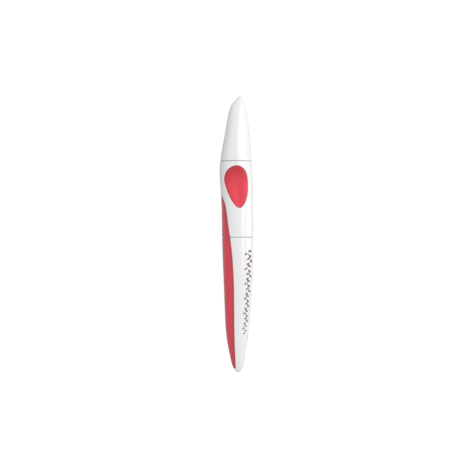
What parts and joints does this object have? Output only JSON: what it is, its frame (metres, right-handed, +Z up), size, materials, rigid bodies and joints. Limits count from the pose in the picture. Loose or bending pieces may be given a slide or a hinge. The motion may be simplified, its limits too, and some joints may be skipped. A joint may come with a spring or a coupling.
{
  "type": "capped cartridge fountain pen",
  "caption": "Slim spindle-shaped school fountain pen with a pull-off cap, teardrop grip pads, a coloured belly, a screw-on barrel and ink cartridges inside.",
  "frame": {"origin": "bottom centre of the pen's box, on the surface that the pen lies on", "axes": "+Y along the pen towards the cap's tip, -Y towards the barrel's tail, -X towards the coloured belly, +Z up, towards the upper grip pad"},
  "size_m": [0.0177, 0.142, 0.0152],
  "materials": {
    "white_plastic": "polished, moulded",
    "coral_plastic": "polished, moulded",
    "coral_rubber": "satin soft-touch",
    "grey_plastic": "satin",
    "core_plastic": "fine matt",
    "black_plastic": "fine matt",
    "liner_plastic": "milky, matt",
    "nib_steel": "fine brushed",
    "tip_metal": "polished",
    "cartridge_plastic": "clear, tinted by ink",
    "ink": "liquid",
    "glass_ball": "polished",
    "seal_rubber": "matt"
  },
  "bodies": {
    "section": {"grip_shell": "white_plastic", "thumb_pad": "coral_rubber", "finger_pad": "coral_rubber", "section_inlay": "coral_plastic", "section_core": "core_plastic", "front_ring": "grey_plastic", "rear_ring": "grey_plastic", "feed": "black_plastic", "piercing_tube": "black_plastic", "nib": "nib_steel", "nib_tip": "tip_metal"},
    "cap": {"cap_shell": "white_plastic", "cap_liner": "liner_plastic"},
    "fitted_cartridge": {"cartridge": "cartridge_plastic", "cartridge_ball": "glass_ball", "cartridge_ink": "ink"},
    "spare_cartridge": {"spare_cartridge": "cartridge_plastic", "spare_cartridge_ball": "glass_ball", "spare_cartridge_ink": "ink"},
    "seal": {"barrel_seal": "seal_rubber"},
    "barrel": {"barrel_shell": "white_plastic", "barrel_inlay": "coral_plastic", "barrel_insert": "core_plastic"}
  },
  "joints": [
    {"name": "cap_pull", "type": "slide", "parent": "section", "child": "cap", "axis": [0, 1, 0], "range_m": [0, 0.045]},
    {"name": "cartridge_pull", "type": "slide", "parent": "section", "child": "fitted_cartridge", "axis": [0, -1, 0], "range_m": [0, 0.0052]},
    {"name": "barrel_draw", "type": "slide", "parent": "section", "child": "spare_cartridge", "axis": [0, -1, 0], "range_m": [0, 0.06]},
    {"name": "barrel_out", "type": "slide", "parent": "spare_cartridge", "child": "seal", "axis": [0, -1, 0], "range_m": [0, 0.0073]},
    {"name": "barrel_turn", "type": "hinge", "parent": "seal", "child": "barrel", "pos_m": [0, -0.0015, 0.0076], "axis": [0, -1, 0], "range_deg": [0, 1080]}
  ],
  "couplings": [
    {"joint": "barrel_out", "follows": "barrel_turn", "m_per_rad": 0.00038197}
  ]
}
